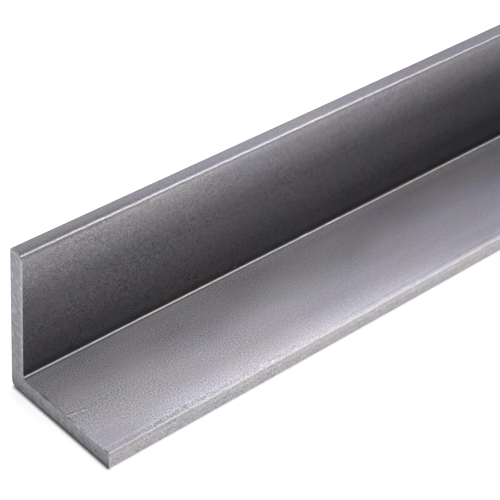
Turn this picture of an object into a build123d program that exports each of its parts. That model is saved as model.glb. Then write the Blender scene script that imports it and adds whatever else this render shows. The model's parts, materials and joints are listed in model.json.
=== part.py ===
"""A length of equal-leg rolled steel angle, lying on one leg with the other leg upright at the back.

Frame, in millimetres: X runs along the bar, the flat leg reaches towards -Y, the upright leg stands at
the +Y side, and Z is up. The origin is at the middle of the overall box, on the underside.
"""

import os
from math import radians, tan

from build123d import *

# Section
leg = 50.0  # outer width of either leg
thickness = 6.0
root_radius = 1.5  # inner corner, between the legs
heel_radius = 2.5  # outer corner
toe_inner_radius = 3.0  # leg ends, on the inner side
toe_outer_radius = 0.5  # leg ends, on the outer side

# Length and saw cuts. Both ends are cut at one saw setting, so the cuts are parallel.
length = 1000.0  # along the heel
saw_lean = 2.5  # degrees that a cut leans towards +X over the height of the upright leg
saw_swing = 2.5  # degrees that a cut swings towards -X across the width of the flat leg
deburr_radius = 0.3  # where the burr was filed off the sawn edges

lean_run = leg * tan(radians(saw_lean))
swing_run = leg * tan(radians(saw_swing))
heel_y = leg / 2
toe_y = heel_y - leg
inner_y = heel_y - thickness


def section():
    """The L, drawn in Y and Z, with each of its six corners rounded to its own radius."""
    corner_radii = {
        (heel_y, 0): heel_radius,
        (toe_y, 0): toe_outer_radius,
        (toe_y, thickness): toe_inner_radius,
        (inner_y, thickness): root_radius,
        (inner_y, leg): toe_inner_radius,
        (heel_y, leg): toe_outer_radius,
    }
    with BuildSketch(Plane.YZ) as profile:
        with BuildLine():
            Polyline(*corner_radii, close=True)
        make_face()
        for corner, radius in corner_radii.items():
            fillet(profile.vertices().sort_by_distance(corner)[0], radius)
    return profile.sketch


def saw_plane(heel_x):
    """The plane of a cut that meets the heel at heel_x, facing along the bar towards +X."""
    return Plane(origin=(heel_x, heel_y, 0), z_dir=(1, -tan(radians(saw_swing)), -tan(radians(saw_lean))))


def steel_angle():
    """The rolled bar, sawn at both ends and deburred, with its overall box centred on X = 0."""
    near_heel_x = (swing_run - lean_run - length) / 2
    near_cut = saw_plane(near_heel_x)
    far_cut = saw_plane(near_heel_x + length)
    rolled_length = length + 2 * (lean_run + swing_run)
    with BuildPart() as bar:
        extrude(section(), amount=rolled_length / 2, both=True)
        split(bisect_by=near_cut, keep=Keep.TOP)
        split(bisect_by=far_cut, keep=Keep.BOTTOM)
        ends = bar.faces().sort_by(Axis.X)
        fillet(ends[0].edges() + ends[-1].edges(), radius=deburr_radius)
    return bar.part


os.makedirs("parts", exist_ok=True)
export_step(steel_angle(), "parts/steel_angle.step")
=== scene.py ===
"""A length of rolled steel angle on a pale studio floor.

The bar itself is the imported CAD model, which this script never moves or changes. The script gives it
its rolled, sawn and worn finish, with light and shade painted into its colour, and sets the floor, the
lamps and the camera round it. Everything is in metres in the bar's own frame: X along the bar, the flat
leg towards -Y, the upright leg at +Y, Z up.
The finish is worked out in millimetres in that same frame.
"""

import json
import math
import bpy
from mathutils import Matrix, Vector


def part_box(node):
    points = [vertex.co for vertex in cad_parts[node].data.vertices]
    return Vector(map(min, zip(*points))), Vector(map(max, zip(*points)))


bl_info = {
    "name": "Steel Angle Stock",
    "version": (1, 0, 0),
    "blender": (4, 5, 0),
    "location": "3D View > Sidebar > Steel Angle",
    "description": "Rolled steel finish, floor, lamps and camera for a length of equal-leg angle",
    "category": "Object",
}

import bmesh
import bpy
from bpy.props import FloatProperty, FloatVectorProperty, PointerProperty
from bpy.types import Operator, Panel, PropertyGroup
from mathutils import Matrix, Vector

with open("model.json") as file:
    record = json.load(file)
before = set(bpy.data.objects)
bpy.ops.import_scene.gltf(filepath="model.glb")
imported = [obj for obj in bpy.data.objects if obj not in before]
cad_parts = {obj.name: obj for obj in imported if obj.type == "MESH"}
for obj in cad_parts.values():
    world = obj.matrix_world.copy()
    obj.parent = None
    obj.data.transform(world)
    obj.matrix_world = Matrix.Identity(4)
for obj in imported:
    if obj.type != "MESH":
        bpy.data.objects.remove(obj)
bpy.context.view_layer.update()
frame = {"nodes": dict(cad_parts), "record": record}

BAR = "steel_angle"
MM = 0.001
MOUNTS = {mount["name"]: mount for mount in frame["record"]["mounts"]}

# The section, in millimetres in the bar's frame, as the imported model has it.
BAR_LOW, BAR_HIGH = ([round(c / MM, 2) for c in corner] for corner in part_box(BAR))
TOE_Y = BAR_LOW[1]
BACK_Y = BAR_HIGH[1]
LEG = BAR_HIGH[2]
THICKNESS = round(MOUNTS["flat_leg_inside"]["pos_m"][2] / MM, 2)
INSIDE_Y = BACK_Y - THICKNESS

# Where the camera stands, in metres, how it is held, in degrees, and its lens and sensor, in millimetres.
CAMERA_PLACE = (-0.75896, -0.35119, 0.36508)
CAMERA_HEADING = 46.417  # from +X towards +Y
CAMERA_PITCH = 34.694  # downwards
CAMERA_ROLL = 1.748
CAMERA_LENS = 135.94
CAMERA_SENSOR = 36.0
CAMERA_NEAREST = 0.01  # metres

# The lamps face this place, in metres, from this far away. Each has its heading from +X towards +Y and its
# height above level, in degrees, and the width and depth of its face, in metres. A square metre of a face
# that shows as white gives off WHITE_POWER watts.
LIT_PLACE = (-0.33, 0.0, 0.03)
LAMP_DISTANCE = 1.6
WHITE_POWER = 4.0
SOFTBOXES = {
    "overhead": (60.0, 67.0, 0.42, 1.28),
    "far": (32.0, 36.0, 1.15, 0.62),
    "middle": (-9.0, 56.0, 0.70, 0.62),
    "near": (-43.0, 45.0, 0.62, 0.38),
    "front": (-51.0, 24.0, 0.55, 0.50),
}

# The floor: how much of its white it shows of its own, beside what the lamps give it, and from where to
# where it turns to plain white, in metres from its middle.
FLOOR_GLOW = 0.86
WHITE_START = 0.7
WHITE_END = 2.0
WHITE = (1.0, 1.0, 1.0, 1.0)

# The painted contact shadow, a dark line where the bar meets the floor: how far out it goes from the bar, in
# metres, and how much of the floor's glow it takes all along, and on top of that in front of the sawn ends.
# What it takes there ends this many millimetres behind the plane of the cut.
DARK_GAP = 0.0011
DARK_SHARE = 0.25
END_DARK_SHARE = 0.7
END_GAP = 0.4

# The rings of the flat floor, as shares of its radius, the cove round it, in metres, and how many steps make
# the circle and the cove's quarter circle.
FLOOR_RINGS = (0.05, 0.25, 0.5, 1.0)
COVE_RADIUS = 1.5
COVE_TOP = 4.0
FLOOR_SIDES = 96
COVE_STEPS = 12

# How deep from the plane of the cut the bare sawn face goes, and the filed edge round it, in millimetres:
# each fades between its two values.
SAWN_DEPTH = (0.10, 0.05)
FILED_DEPTH = (0.36, 0.26)

# The sawn ends: which way the tooth marks lean, from level towards the top of the upright leg, how wide the
# short strokes among them are, in millimetres, and how many times as long, and how much of its light the
# metal keeps in the painted shade along the underside of the ends.
MARKS_ANGLE = math.radians(45.0)
STROKE_WIDTH = 0.7
STROKE_LENGTHS = 3.5
UNDERSIDE_SHADE_LIGHT = 0.2

# Nicks and scratches: where each starts and ends, in millimetres in the bar's frame, how far out on each
# side it fades away, and how far it goes to bright metal (above 0) or to dark scale (below 0).
SCRATCHES = (
    # A nick across the arris of the flat leg, and its dark gap.
    ((-500.66, -3.6, 6.0), (-498.1, -4.05, 6.0), 0.50, 0.80),
    ((-495.8, -4.4, 6.0), (-494.6, -4.7, 6.0), 0.45, 0.45),
    ((-501.0, -4.6, 5.9), (-501.05, -5.3, 5.8), 0.45, -0.55),
    # Scale left along the sawn arris.
    ((-500.05, 16.6, 5.9), (-500.6, 6.0, 5.9), 0.50, -0.30),
    ((-500.4, 8.3, 6.0), (-500.6, 5.5, 6.0), 0.55, -0.60),
    # Three strokes in the scale near the root.
    ((-498.0, 16.7, 6.0), (-499.3, 13.5, 6.0), 0.32, -0.14),
    ((-497.5, 15.4, 6.0), (-499.1, 11.8, 6.0), 0.32, -0.16),
    ((-497.3, 13.1, 6.0), (-498.6, 10.5, 6.0), 0.32, -0.10),
    # Dark marks under the upper toe.
    ((-469.0, 19.5, 48.65), (-454.0, 19.5, 48.65), 0.22, -0.22),
    ((-453.5, 19.3, 48.5), (-449.5, 19.3, 48.5), 0.40, -0.40),
    # A hair scratch and two small dings inside the upright leg.
    ((-413.4, 19.0, 38.2), (-406.9, 19.0, 37.8), 0.30, 0.07),
    ((-413.6, 19.0, 7.5), (-413.0, 19.0, 7.5), 0.35, 0.30),
    ((-420.0, 19.0, 8.6), (-419.4, 19.0, 8.6), 0.30, 0.15),
    # Bright rubbed places in the root.
    ((-384.0, 18.7, 6.4), (-380.5, 18.7, 6.4), 0.45, 0.50),
    ((-372.0, 18.6, 6.3), (-365.5, 18.6, 6.3), 0.45, 0.50),
)

# How far a dark scratch is sunken, as a share of what a bright one stands proud, and how far a bright one
# stands proud, in heights of the grain.
SUNKEN_SHARE = 0.3
PROUD_HEIGHTS = 22.0

# Where each pattern is read from the noise, so that no two of them line up, in millimetres.
BLISTERS_SHIFT = (9.0, 4.0, 6.0)
PATCHES_SHIFT = (20.0, 50.0, 30.0)
WARMTH_SHIFT = (40.0, 10.0, 70.0)
REDNESS_SHIFT = (10.0, 30.0, 90.0)

# The small pits inside the upright leg lie in a pattern of cells, this many to a millimetre.
PIT_CELLS_PER_MM = 0.28

# Patches of tint that stand by themselves: the middle of each, in millimetres in the bar's frame, how much
# a millimetre along the bar counts in it, and how far out it is whole and is gone.
LILAC_CORNER = ((-501.0, TOE_Y + 3.0, THICKNESS), 0.45, 4.0, 8.0)
WARM_PATCH = ((-445.0, INSIDE_Y, LEG - 3.5), 0.16, 1.0, 5.0)
RED_PATCH = ((-497.0, 1.0, THICKNESS), 0.5, 1.0, 4.0)

# The two tints between which the rolled faces turn a little more and a little less red.
LESS_RED = (0.94, 1.0, 1.0)
MORE_RED = (1.07, 1.0, 1.0)


class Socket:
    """One output of a shader node. Arithmetic on values adds the Math nodes that work it out."""

    def __init__(self, tree, output):
        self.tree = tree
        self.output = output

    def other(self, name):
        """Another output of the same node."""
        return Socket(self.tree, self.output.node.outputs[name])

    def maths(self, operation, *values):
        inputs = dict(enumerate(values))
        return self.tree.node("ShaderNodeMath", {"operation": operation}, inputs)

    def vector_maths(self, operation, *values, output="Vector", **named):
        inputs = {**dict(enumerate(values)), **named}
        return self.tree.node("ShaderNodeVectorMath", {"operation": operation}, inputs, output)

    def __add__(self, other):
        return self.maths("ADD", self, other)

    def __sub__(self, other):
        return self.maths("SUBTRACT", self, other)

    def __mul__(self, other):
        return self.maths("MULTIPLY", self, other)

    def __radd__(self, other):
        return self.maths("ADD", other, self)

    def __rsub__(self, other):
        return self.maths("SUBTRACT", other, self)

    def __rmul__(self, other):
        return self.maths("MULTIPLY", other, self)

    def __abs__(self):
        return self.maths("ABSOLUTE", self)

    def least(self, other):
        return self.maths("MINIMUM", self, other)

    def most(self, other):
        return self.maths("MAXIMUM", self, other)

    def sine(self):
        return self.maths("SINE", self)

    def step(self, start, end):
        """A soft step from 0 at start to 1 at end, whichever of the two is the larger."""
        inputs = {"Value": self, "From Min": start, "From Max": end}
        return self.tree.node("ShaderNodeMapRange", {"interpolation_type": "SMOOTHSTEP"}, inputs)

    def between(self, start, whole, fading, end):
        """1 from whole to fading, with a soft step up from start and a soft step down to end."""
        return self.step(start, whole) * self.step(end, fading)

    def minus(self, vector):
        return self.vector_maths("SUBTRACT", self, vector)

    def times(self, vector):
        return self.vector_maths("MULTIPLY", self, vector)

    def drawn_out(self, share):
        """This place with lengths along X counted at a share, which draws patterns out along the bar."""
        return self.times((share, 1.0, 1.0))

    def scaled(self, factor):
        return self.vector_maths("SCALE", self, Scale=factor)

    def dot(self, vector):
        return self.vector_maths("DOT_PRODUCT", self, vector, output="Value")

    def length(self):
        return self.vector_maths("LENGTH", self, output="Value")

    def parts(self):
        """The three parts of a vector, as values."""
        x = self.tree.node("ShaderNodeSeparateXYZ", None, {0: self})
        return x, x.other("Y"), x.other("Z")


class ShaderTree:
    """The node tree of a material or a world, emptied and ready to be built."""

    def __init__(self, owner):
        owner.use_nodes = True
        self.tree = owner.node_tree
        self.tree.nodes.clear()

    def node(self, kind, settings=None, inputs=None, output=0):
        """Adds a node, its settings first and then its inputs by name or number, and gives one output."""
        node = self.tree.nodes.new(kind)
        for name, value in (settings or {}).items():
            setattr(node, name, value)
        for name, value in (inputs or {}).items():
            if isinstance(value, Socket):
                self.tree.links.new(value.output, node.inputs[name])
            else:
                node.inputs[name].default_value = value
        return Socket(self, node.outputs[output]) if node.outputs else None

    def mix(self, factor, first, second):
        """Two colours mixed, given as links or as (red, green, blue)."""
        first, second = (c if isinstance(c, Socket) else (*c, 1.0) for c in (first, second))
        # A Mix node keeps its colour inputs as numbers 6 and 7, and its colour result as number 2.
        return self.node("ShaderNodeMix", {"data_type": "RGBA"}, {0: factor, 6: first, 7: second}, 2)

    def noise(self, place, size, detail=2.0, roughness=0.5):
        """Noise whose blotches are about size across, in the units of place, around 0.5."""
        inputs = {"Vector": place, "Scale": 1 / size, "Detail": detail, "Roughness": roughness}
        return self.node("ShaderNodeTexNoise", None, inputs)

    def near_line(self, place, start, end, width):
        """1 on the straight line from start to end, fading to 0 at width away from it."""
        line = Vector(end) - Vector(start)
        from_start = place.minus(start)
        along = (from_start.dot(line) * (1 / line.length_squared)).most(0.0).least(1.0)
        whole_line = self.node("ShaderNodeCombineXYZ", None, dict(enumerate(line)))
        return from_start.minus(whole_line.scaled(along)).length().step(width, 0.0)


def colour_property(name, description, default, most=1.0):
    return FloatVectorProperty(
        name=name, description=description, subtype="COLOR", min=0.0, max=most, default=default
    )


def length_property(name, description, default):
    return FloatProperty(
        name=name, description=description, unit="LENGTH", subtype="DISTANCE", default=default
    )


def lamp_property(name, place, default):
    description = f"Brightness of the softbox {place}, where 1 is white"
    return FloatProperty(name=name, description=description, min=0.0, default=default)


class SteelFinish(PropertyGroup):
    """The colours of the bar's rolled, sawn and worn metal, its painted shade and highlights, and how coarse
    and how strong its marks are.
    """

    flat_leg_colour: colour_property(
        "Flat leg", "Colour of the flat leg, where the mill scale is thin", (0.56, 0.555, 0.578)
    )
    upright_leg_colour: colour_property(
        "Upright leg", "Colour of the upright leg, under darker mill scale", (0.262, 0.26, 0.268)
    )
    sawn_colour: colour_property(
        "Sawn ends", "Colour of the bare metal on the two sawn ends", (0.222, 0.218, 0.241)
    )
    # Also the colour of the painted highlight along the rounded corners.
    worn_and_highlight_colour: colour_property(
        "Worn edges", "Colour of the polished metal on edges and in nicks", (0.95, 0.94, 0.96)
    )
    scale_colour: colour_property(
        "Scale", "Colour of thick dark mill scale, in scratches and pits", (0.06, 0.055, 0.055)
    )
    warm_tint: colour_property("Warm tint", "Tint of the brownish patches", (1.03, 1.0, 1.01), most=1.2)
    cool_tint: colour_property("Cool tint", "Tint of the lilac patches", (1.015, 0.99, 1.15), most=1.2)
    roughness: FloatProperty(
        name="Roughness",
        description="How dull the rolled faces are",
        subtype="FACTOR",
        min=0.0,
        max=1.0,
        default=0.50,
    )
    # Also sets the painted shade low down inside the upright leg and farther along the bar.
    scale_and_shade_darkness: FloatProperty(
        name="Scale darkness",
        description="How much the thickest mill scale darkens the upright leg",
        subtype="FACTOR",
        min=0.0,
        max=1.0,
        default=0.74,
    )
    # Also how strong the painted highlight along the rounded corners is.
    wear_and_highlight: FloatProperty(
        name="Wear",
        description="How far the lines along the rounded corners are polished to bare metal",
        subtype="FACTOR",
        min=0.0,
        max=1.0,
        default=0.95,
    )
    grain_strength: FloatProperty(
        name="Grain strength",
        description="How strongly the sandy grain lightens and darkens the flat leg",
        min=0.0,
        default=2.75,
    )
    grain_size: length_property("Grain size", "Size of the sandy grain left by rolling", 0.0004)
    grain_depth: length_property("Grain depth", "Height of the sandy grain", 0.000012)
    patch_size: length_property("Patch size", "Size of the patches in which the grain lies", 0.009)
    blister_size: length_property("Blister size", "Size of the flat blisters among the grain", 0.0013)
    mottle_size: length_property("Mottle size", "Size of the soft warm and cool patches", 0.016)
    rolling_pitch: length_property("Rolling line pitch", "Distance between the fine rolling lines", 0.0011)
    saw_pitch: length_property("Saw mark pitch", "Distance between the saw marks on the ends", 0.001)


class StageLook(PropertyGroup):
    """The floor and the light that the bar is shown in."""

    floor_colour: colour_property("Floor", "Colour of the floor and of the cove behind it", (0.8, 0.8, 0.8))
    floor_radius: length_property(
        "Floor radius", "Distance from the middle of the bar to where the floor turns up into the cove", 8.0
    )
    overhead_light: lamp_property("Overhead lamp", "high behind the bar", 2.3)
    far_light: lamp_property("Far lamp", "low beyond the far end", 1.6)
    middle_light: lamp_property("Middle lamp", "between the far and the near one", 2.25)
    near_light: lamp_property("Near lamp", "in front of the bar", 1.38)
    front_light: lamp_property("Front lamp", "low in front of the bar", 1.0)
    fill_light: FloatProperty(
        name="Fill", description="Brightness of the room all round", min=0.0, default=0.06
    )


def end_depth(place):
    """How deep a place in millimetres lies behind the plane of the nearer sawn end."""
    near, far = (
        place.minus([c / MM for c in MOUNTS[end]["pos_m"]]).dot([-a for a in MOUNTS[end]["axis"]])
        for end in ("near_end", "far_end")
    )
    return near.least(far)


class BarSurface:
    """Where a place on the bar lies: measures in millimetres, masks from 0 to 1 and noise around 0."""

    def __init__(self, tree, finish):
        coordinates = tree.node("ShaderNodeTexCoord", None, None, "Object")
        self.place = coordinates.scaled(1 / MM)
        _, self.across, self.height = self.place.parts()
        _, self.facing_y, self.facing_z = coordinates.other("Normal").parts()

        # How far in from the sawn ends.
        self.depth = end_depth(self.place)
        self.sawn = self.depth.step(*SAWN_DEPTH)
        self.filed = self.depth.step(*FILED_DEPTH) - self.sawn
        self.inland = self.depth.step(20.0, 260.0)

        # The faces of the two legs. The flat leg's toe faces the same way as the inside of the upright leg,
        # and counts as inside too.
        self.inside = self.facing_y.step(-0.3, -0.9)
        self.upright = self.height.step(THICKNESS, THICKNESS + 1.0).most(self.facing_y.step(0.3, 0.9))
        self.toe_face = self.inside * (1 - self.upright)
        self.on_top = self.height.step(LEG - 1.0, LEG - 0.2)

        # The rounded corners, those at the ends of the legs, and some stretches of them.
        self.rounded = abs(self.facing_y * self.facing_z).step(0.04, 0.30)
        self.upper_toe = self.height.step(LEG - 5.0, LEG - 4.0)
        self.flat_toe = self.across.step(TOE_Y + 5.0, TOE_Y + 4.0)
        self.toes = self.upper_toe.most(self.flat_toe)
        self.near_corner = self.flat_toe * self.depth.step(38.0, 20.0)
        self.half_way = self.upper_toe * self.depth.between(20.0, 70.0, 140.0, 220.0)
        self.far_root = self.depth.step(50.0, 160.0) * (1 - self.toes)

        # Patches that stand by themselves.
        self.lilac_corner = self.patch(*LILAC_CORNER) * (1 - self.toe_face)
        self.warm_patch = self.patch(*WARM_PATCH)
        self.red_patch = self.patch(*RED_PATCH)

        # A sandy grain, flat blisters, and soft mottling that is longer along the bar.
        self.along_rolling = self.place.drawn_out(0.45)
        self.mottle_size = finish.mottle_size / MM
        self.grain = tree.noise(self.place, finish.grain_size / MM, detail=1.5, roughness=0.6) - 0.5
        shifted = self.place.minus(BLISTERS_SHIFT)
        self.blisters = tree.noise(shifted, finish.blister_size / MM, detail=1.0) - 0.5
        self.mottle = tree.noise(self.along_rolling, self.mottle_size, detail=3.0) - 0.5

    def patch(self, middle, along, whole, gone):
        """1 round a middle, fading away between whole and gone, both in millimetres."""
        return self.place.minus(middle).drawn_out(along).length().step(gone, whole)


def worn_and_highlight_line(tree, bar):
    """The line along each rounded corner that is painted bright: a painted highlight, partly worn metal at
    the toes, wandering a little along the bar.
    """
    wander = tree.noise(bar.place.times((0.12, 0.0, 0.0)), 1.0, detail=3.0) - 0.5
    lean = abs(bar.facing_y) - abs(bar.facing_z) + 0.26 * wander
    lean = lean + 0.13 * bar.upper_toe + 0.03 * bar.half_way + 0.20 * bar.far_root
    width = 0.26 - 0.05 * bar.upper_toe + 0.04 * bar.half_way + 0.10 * bar.far_root
    width = width + 0.08 * bar.flat_toe - 0.12 * bar.near_corner
    return bar.facing_z.step(-0.3, 0.1) * abs(lean).step(width, 0.05)


def line_wear_and_highlight(bar, finish):
    """How strong the worn line's painted highlight and polish are, from place to place."""
    wear_and_highlight = finish.wear_and_highlight - 0.15 * bar.toes - 0.36 * bar.half_way - 0.56 * bar.far_root
    return wear_and_highlight + 0.20 * bar.near_corner - 0.30 * bar.flat_toe * bar.inland


def leg_scale_and_shade(bar, finish):
    """How light the flat faces of the legs are, beside their plain colours: mill scale, and painted light
    and shade.
    """
    depth, across, height = bar.depth, bar.across, bar.height

    # Inside the upright leg, darker low down and away from the sawn ends: partly mill scale, partly painted
    # shade in the inner corner and farther along the bar.
    above_foot = 0.13 * height.step(7.5, 10.0) + 0.22 * height.step(9.0, 30.0)
    towards_top = 0.75 * height.step(30.0, LEG + 2.0)
    farther_in = 0.12 + 0.12 * height.step(8.0, 16.0) + 0.08 * height.step(18.0, 34.0)
    scale = finish.scale_and_shade_darkness - above_foot - towards_top + bar.inland * farther_in
    upright_leg = bar.inside * bar.upright * scale

    # Painted light on the flat leg: palest at the root near the sawn ends, and a painted sheen near its toe
    # a little farther in.
    root_light = 0.38 * across.step(-18.0, 2.0) + 0.32 * across.step(13.5, 17.0)
    root_light = root_light - 0.54 * bar.inland * across.step(-32.0, -5.0)
    toe_sheen = across.step(-14.0, -21.0) * bar.facing_z.step(0.9, 0.98)
    toe_sheen = toe_sheen * (0.18 * depth.between(15.0, 35.0, 90.0, 150.0) - 0.17 * depth.step(125.0, 170.0))
    flat_leg = root_light * (1 - bar.upright) + toe_sheen

    # Painted light and shade on the top of the upright leg, lighter near the sawn ends and darker farther
    # along and along its inner side near the ends, and painted shade on the flat leg's toe.
    shaded_strip = across.step(BACK_Y - 2.0, BACK_Y - 4.0) * depth.step(110.0, 10.0)
    top = bar.on_top * (0.11 - 0.27 * depth.step(105.0, 190.0) - 0.42 * shaded_strip)
    toe = bar.toe_face * (0.28 - 0.08 * depth.step(0.0, 120.0))
    return 1 + flat_leg - upright_leg + top - toe


def corner_shade_and_sheen(bar):
    """Painted shade and sheen on the rounded corners, on both sides of their worn line, beside the faces
    they join.
    """
    depth, facing = bar.depth, bar.facing_z
    # The rounded corners painted darker, least at the toes: painted shade.
    dull = 0.75 - 0.45 * bar.inside * (1 - bar.toes) - 0.09 * bar.far_root
    dull = dull - 0.65 * bar.toes - 0.08 * bar.flat_toe

    # Painted shade above and painted sheen below the line at the flat leg's toe, from level (facing 1) to
    # upright (facing 0).
    above = 0.24 * bar.near_corner + 0.20 * depth.step(20.0, 36.0) + 0.20 * depth.step(80.0, 240.0)
    above = facing.step(0.84, 0.93) * above + 0.10 * facing.step(0.78, 0.86) * depth.step(85.0, 115.0)
    below = 0.10 + 0.09 * depth.step(15.0, 40.0) - 0.14 * depth.step(80.0, 200.0)
    below = facing.between(0.10, 0.28, 0.55, 0.70) * below
    brim_sheen = facing.between(0.71, 0.79, 0.87, 0.93) * depth.between(20.0, 60.0, 110.0, 190.0)
    flat_toe = 1 + bar.flat_toe * (below + 0.22 * brim_sheen)

    # Painted sheen below the line at the upright leg's toe.
    under_top_sheen = 0.25 * depth.step(22.0, 42.0) - 0.13 * depth.step(85.0, 115.0)
    upper_toe = 1 + bar.upper_toe * facing.between(0.30, 0.44, 0.61, 0.68) * under_top_sheen
    return (1 - bar.rounded * (dull + bar.flat_toe * above)) * flat_toe * upper_toe


def rolled_tint(tree, bar, finish):
    """The tint of the rolled faces: soft brownish and lilac patches, some of them a little redder."""
    outside = 1 - bar.inside
    coolness = 1.7 * (tree.noise(bar.along_rolling.minus(WARMTH_SHIFT), bar.mottle_size) - 0.5)
    coolness = coolness + 0.10 + 0.30 * bar.across.step(5.0, TOE_Y) * outside
    coolness = coolness + 0.75 * bar.inland * bar.across.step(14.0, -4.0) * outside
    coolness = coolness + bar.on_top * (0.30 + 0.30 * bar.depth.step(20.0, 60.0)) - 0.3 * bar.toe_face
    coolness = coolness + 0.35 * bar.lilac_corner - 0.5 * bar.warm_patch
    tint = tree.mix(coolness.most(0.0).least(1.0), finish.warm_tint, finish.cool_tint)
    redness = tree.noise(bar.along_rolling.minus(REDNESS_SHIFT), 0.6 * bar.mottle_size)
    return tint.times(tree.mix(redness + 0.3 * bar.red_patch, LESS_RED, MORE_RED))


def grain_tone(tree, bar, finish):
    """Light and dark on the rolled faces: mottling, fine rolling lines and a grain in patches."""
    rolling_lines = tree.noise(bar.place.drawn_out(0.012), finish.rolling_pitch / MM) - 0.5
    patches = tree.noise(bar.place.minus(PATCHES_SHIFT).drawn_out(0.6), finish.patch_size / MM)
    smooth = bar.depth.step(40.0, 150.0)
    fine = finish.grain_strength - 1.3 * bar.rounded * (1 - 0.85 * bar.toes) - 1.15 * bar.on_top
    fine = fine - 0.8 * bar.inside - 0.25 * bar.toe_face - 1.05 * bar.lilac_corner
    fine = fine * 2.0 * patches * (1 - 0.75 * smooth)
    coarse = 0.12 + 0.36 * bar.inside * patches + 0.20 * smooth
    tone = 1 + bar.mottle * (0.32 - 0.12 * bar.inside) + rolling_lines * 0.14
    tone = tone - 0.11 * bar.lilac_corner + 0.08 * bar.warm_patch
    return tone + bar.grain * fine + bar.blisters * coarse


def scale_pits(tree, bar):
    """Small pits inside the upright leg, one in some of the cells of a coarse pattern."""
    cells = {"Vector": bar.place.drawn_out(0.7), "Scale": PIT_CELLS_PER_MM}
    to_pit = tree.node("ShaderNodeTexVoronoi", None, cells, "Distance")
    chosen, size, _ = to_pit.other("Color").parts()
    return (to_pit - 0.07 * size).step(0.07, 0.0) * chosen.step(0.55, 0.65) * bar.inside


def saw_marks(tree, bar, pitch):
    """Parallel tooth marks on the sawn ends, as a wave from -1 to 1."""
    across_marks = bar.place.dot((0.0, math.sin(MARKS_ANGLE), -math.cos(MARKS_ANGLE)))
    drift = tree.noise(bar.place, 4.0)
    return ((across_marks + drift * 0.8) * (2 * math.pi * MM / pitch)).sine()


def sawn_metal(tree, bar, finish, marks):
    """Colour of the sawn ends: bare metal with tooth marks, painted light higher up and on the arrises, and
    painted shade along the underside where the end meets the floor.
    """
    across, height = bar.across, bar.height
    # Painted shade along the underside of the end, where it meets the floor.
    underside_shade = height.step(1.3, 0.5) * (0.72 - 0.3 * across.step(5.0, 20.0))
    colour = tree.mix(underside_shade, finish.sawn_colour, [UNDERSIDE_SHADE_LIGHT * c for c in finish.sawn_colour])

    # Painted light on the sawn face: lighter towards the upper toe, a painted highlight along the inner
    # arris and the top edge, and on the flat leg's end darker low down and lighter higher up.
    inner_arris_highlight = across.step(INSIDE_Y + 1.4, INSIDE_Y + 0.2)
    inner_arris_highlight = inner_arris_highlight * height.step(THICKNESS + 1.0, THICKNESS + 6.0)
    upright_leg = 0.12 * across.between(2.0, 10.0, 18.0, 21.0) + 0.30 * height.step(10.0, LEG)
    upright_leg = upright_leg + inner_arris_highlight * (0.40 + 0.15 * height.step(25.0, LEG))
    upright_leg = upright_leg + 0.4 * height.step(LEG - 1.6, LEG - 0.4)
    flat_leg = height.step(THICKNESS + 3.0, THICKNESS + 0.5) * (0.34 * height.step(0.5, THICKNESS) - 0.17)

    # Short strokes lie along the tooth marks, and some of them are bright.
    turn = (MARKS_ANGLE, 0.0, 0.0)
    along_marks = {"Vector": bar.place, "Rotation": turn, "Scale": (1.0, STROKE_LENGTHS, 1.0)}
    drawn_out = tree.node("ShaderNodeMapping", {"vector_type": "TEXTURE"}, along_marks)
    strokes = tree.noise(drawn_out, STROKE_WIDTH)
    streaks = 0.05 * marks + 1.2 * (strokes - 0.5) + 1.8 * bar.grain + 0.5 * bar.blisters + 0.3 * bar.mottle
    streaks = streaks + 0.6 * strokes.step(0.58, 0.68) * height.step(12.0, 20.0)
    return colour.scaled(1 + upright_leg + flat_leg + streaks)


def filed_edge_and_highlight(tree, bar):
    """How bright the filed edge round the sawn ends is, partly filed metal and partly a painted highlight,
    and the broken burr left along the flat leg.
    """
    at_back = bar.facing_y.step(0.2, 0.5)
    # Partly a painted highlight: lighter on the top and the back, darker on the toe face.
    filed = bar.filed * (0.35 - 0.25 * bar.toe_face + 0.40 * bar.on_top + 0.60 * at_back)
    burr = bar.height.between(THICKNESS - 0.5, THICKNESS - 0.2, THICKNESS + 0.3, THICKNESS + 0.8)
    burr = burr * bar.depth.step(0.45, 0.25) * bar.across.step(-4.0, -9.0)
    broken = 0.35 + tree.noise(bar.place, 1.1).step(0.42, 0.60)
    return filed, 0.6 * burr * broken


def scratched(tree, bar, finish, colour):
    """The colour with the nicks and scratches, and how far they stand proud, in heights of the grain."""
    proud = []
    for start, end, width, lightness in SCRATCHES:
        scratch = tree.near_line(bar.place, start, end, width) * abs(lightness)
        colour = tree.mix(scratch, colour, finish.worn_and_highlight_colour if lightness > 0 else finish.scale_colour)
        proud.append(scratch * (PROUD_HEIGHTS if lightness > 0 else -SUNKEN_SHARE * PROUD_HEIGHTS))
    return colour, sum(proud)


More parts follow.
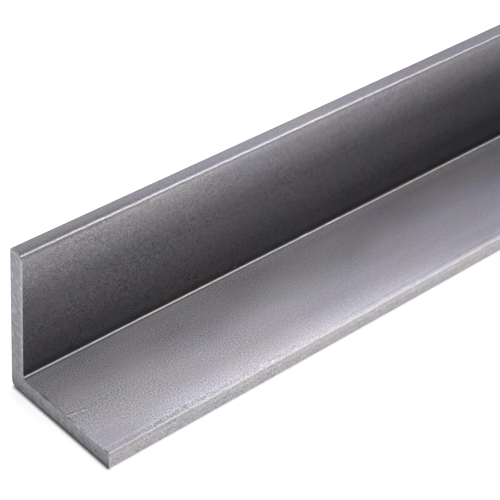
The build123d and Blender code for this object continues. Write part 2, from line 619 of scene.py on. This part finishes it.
def rolled_steel(finish):
    """The bar's material: rolled faces, sawn ends and worn edges, with painted light, shade and highlights,
    all placed in the bar's own frame.
    """
    material = bpy.data.materials.new("rolled_steel")
    tree = ShaderTree(material)
    bar = BarSurface(tree, finish)

    # The painted highlight along the rounded corners, partly worn metal at the toes.
    line = worn_and_highlight_line(tree, bar)
    colour = tree.mix(bar.upright, finish.flat_leg_colour, finish.upright_leg_colour)
    # Painted light and shade on the legs and their rounded corners.
    colour = colour.scaled(leg_scale_and_shade(bar, finish) * corner_shade_and_sheen(bar))
    colour = tree.mix(line * line_wear_and_highlight(bar, finish), colour, finish.worn_and_highlight_colour)
    colour = colour.times(rolled_tint(tree, bar, finish)).scaled(grain_tone(tree, bar, finish))
    colour = tree.mix(0.45 * scale_pits(tree, bar), colour, finish.scale_colour)

    marks = saw_marks(tree, bar, finish.saw_pitch)
    colour = tree.mix(bar.sawn, colour, sawn_metal(tree, bar, finish, marks))
    for bright in filed_edge_and_highlight(tree, bar):
        colour = tree.mix(bright, colour, finish.worn_and_highlight_colour)
    colour, proud = scratched(tree, bar, finish, colour)

    roughness = finish.roughness + 0.12 * bar.mottle - 0.08 * bar.rounded - 0.12 * line - 0.10 * bar.filed
    roughness = roughness + 0.14 * bar.across.step(2.0, 16.0) * (1 - bar.upright)
    relief = bar.grain * (1 - bar.sawn) * (1 - 0.7 * bar.rounded) + 0.4 * marks * bar.sawn + proud
    bump = tree.node("ShaderNodeBump", None, {"Distance": finish.grain_depth, "Height": relief})
    metal = {"Base Color": colour, "Roughness": roughness, "Metallic": 1.0, "Normal": bump}
    surface = tree.node("ShaderNodeBsdfPrincipled", None, metal)
    tree.node("ShaderNodeOutputMaterial", None, {"Surface": surface})
    return material


def floor_paint(colour):
    """Pale paint that shows as white away from the bar and keeps the bar's soft shadow near it, with a
    painted contact shadow right beside it.
    """
    material = bpy.data.materials.new("floor_paint")
    tree = ShaderTree(material)
    rays = tree.node("ShaderNodeLightPath", None, None, "Is Camera Ray")
    seen = rays.most(rays.other("Is Glossy Ray")).most(rays.other("Is Transmission Ray"))
    place = tree.node("ShaderNodeTexCoord", None, None, "Object")
    far = place.length().step(WHITE_START, WHITE_END)
    paint = tree.node("ShaderNodeBsdfDiffuse", None, {"Color": (*colour, 1.0)})
    glow = tree.node("ShaderNodeEmission", None, {"Color": WHITE, "Strength": FLOOR_GLOW})
    lit_paint = tree.node("ShaderNodeAddShader", None, {0: paint, 1: glow})

    # Some of the paint's own white stays off close to the bar, and most of it at the sawn ends, so that a
    # thin dark line shows there: a painted contact shadow.
    open_floor = tree.node("ShaderNodeAmbientOcclusion", {"samples": 8}, {"Distance": DARK_GAP}, "AO")
    at_end = end_depth(place.scaled(1 / MM)).step(END_GAP, 0.0)
    close = (2 - 2 * open_floor).least(1.0) * (DARK_SHARE + END_DARK_SHARE * at_end)
    near_floor = tree.node("ShaderNodeMixShader", None, {0: seen * (1 - close), 1: paint, 2: lit_paint})
    backdrop = tree.node("ShaderNodeEmission", None, {"Color": WHITE, "Strength": 1.0})
    floor = tree.node("ShaderNodeMixShader", None, {0: far * seen, 1: near_floor, 2: backdrop})
    tree.node("ShaderNodeOutputMaterial", None, {"Surface": floor})
    return material


def floor_and_cove(radius):
    """A round floor whose rim turns up through a quarter circle into a low wall."""
    profile = [(radius * share, 0.0) for share in FLOOR_RINGS]
    for step in range(1, COVE_STEPS + 1):
        angle = math.radians(90 * step / COVE_STEPS)
        profile.append((radius + COVE_RADIUS * math.sin(angle), COVE_RADIUS * (1 - math.cos(angle))))
    profile.append((radius + COVE_RADIUS, COVE_TOP))
    made = bmesh.new()
    rings = [
        [
            made.verts.new((r * math.cos(turn), r * math.sin(turn), z))
            for turn in (2 * math.pi * side / FLOOR_SIDES for side in range(FLOOR_SIDES))
        ]
        for r, z in profile
    ]
    made.faces.new(rings[0])
    for inner, outer in zip(rings, rings[1:]):
        for side in range(FLOOR_SIDES):
            following = (side + 1) % FLOOR_SIDES
            made.faces.new((inner[side], outer[side], outer[following], inner[following]))
    mesh = bpy.data.meshes.new("floor")
    made.to_mesh(mesh)
    made.free()
    mesh.shade_smooth()
    return mesh


def softbox(name, heading, height, width, depth, brightness):
    """A rectangular area lamp that faces the lit part of the bar from afar. Brightness is that of its face,
    where 1 is white, and the other values are as in SOFTBOXES.
    """
    turn, rise = math.radians(heading), math.radians(height)
    direction = Vector((math.cos(rise) * math.cos(turn), math.cos(rise) * math.sin(turn), math.sin(rise)))
    lamp = bpy.data.lights.new(name, "AREA")
    lamp.shape = "RECTANGLE"
    lamp.size, lamp.size_y = width, depth
    lamp.energy = WHITE_POWER * width * depth * brightness
    holder = bpy.data.objects.new(name, lamp)
    holder.location = Vector(LIT_PLACE) + direction * LAMP_DISTANCE
    holder.rotation_euler = (-direction).to_track_quat("-Z", "Y").to_euler()
    holder.visible_camera = False
    bpy.context.scene.collection.objects.link(holder)


def room(fill):
    """A world that gives a little light from all round."""
    world = bpy.data.worlds.new("room")
    tree = ShaderTree(world)
    light = tree.node("ShaderNodeBackground", None, {"Color": WHITE, "Strength": fill})
    tree.node("ShaderNodeOutputWorld", None, {"Surface": light})
    return world


def camera_on_stand():
    """The camera, at its place and held as the values at the top say."""
    camera = bpy.data.objects.new("camera", bpy.data.cameras.new("camera"))
    camera.data.sensor_width = CAMERA_SENSOR
    camera.data.lens = CAMERA_LENS
    camera.data.clip_start = CAMERA_NEAREST
    camera.matrix_world = (
        Matrix.Translation(CAMERA_PLACE)
        @ Matrix.Rotation(math.radians(CAMERA_HEADING - 90), 4, "Z")
        @ Matrix.Rotation(math.radians(90 - CAMERA_PITCH), 4, "X")
        @ Matrix.Rotation(math.radians(CAMERA_ROLL), 4, "Z")
    )
    return camera


class STEELANGLE_OT_dress_bar(Operator):
    """Give the bar its rolled, sawn and worn finish, with painted light and shade"""

    bl_idname = "steel_angle.dress_bar"
    bl_label = "Dress the Bar"

    def execute(self, context):
        material = rolled_steel(context.scene.steel_finish)
        for slot in frame["nodes"][BAR].material_slots:
            slot.material = material
        return {"FINISHED"}


class STEELANGLE_OT_set_stage(Operator):
    """Lay the floor, hang the lamps and stand the camera"""

    bl_idname = "steel_angle.set_stage"
    bl_label = "Set the Stage"

    def execute(self, context):
        scene = context.scene
        look = scene.stage_look

        floor = bpy.data.objects.new("floor", floor_and_cove(look.floor_radius))
        floor.data.materials.append(floor_paint(look.floor_colour))
        scene.collection.objects.link(floor)

        for name, (heading, height, width, depth) in SOFTBOXES.items():
            softbox(f"{name}_softbox", heading, height, width, depth, getattr(look, f"{name}_light"))
        scene.world = room(look.fill_light)

        scene.camera = camera_on_stand()
        scene.collection.objects.link(scene.camera)
        scene.view_settings.view_transform = "Standard"
        return {"FINISHED"}


class STEELANGLE_PT_sidebar(Panel):
    """Finish and stage of the steel angle"""

    bl_idname = "STEELANGLE_PT_sidebar"
    bl_label = "Steel Angle"
    bl_space_type = "VIEW_3D"
    bl_region_type = "UI"
    bl_category = "Steel Angle"

    def draw(self, context):
        for title, group, operator in (
            ("Finish", context.scene.steel_finish, STEELANGLE_OT_dress_bar),
            ("Stage", context.scene.stage_look, STEELANGLE_OT_set_stage),
        ):
            box = self.layout.box()
            box.label(text=title)
            for name in group.__annotations__:
                box.prop(group, name)
            box.operator(operator.bl_idname)


CLASSES = (
    SteelFinish,
    StageLook,
    STEELANGLE_OT_dress_bar,
    STEELANGLE_OT_set_stage,
    STEELANGLE_PT_sidebar,
)


def register():
    for cls in CLASSES:
        bpy.utils.register_class(cls)
    bpy.types.Scene.steel_finish = PointerProperty(type=SteelFinish)
    bpy.types.Scene.stage_look = PointerProperty(type=StageLook)


def unregister():
    del bpy.types.Scene.stage_look
    del bpy.types.Scene.steel_finish
    for cls in reversed(CLASSES):
        bpy.utils.unregister_class(cls)


def main():
    register()
    bpy.ops.steel_angle.dress_bar()
    bpy.ops.steel_angle.set_stage()


if __name__ == "__main__":
    main()
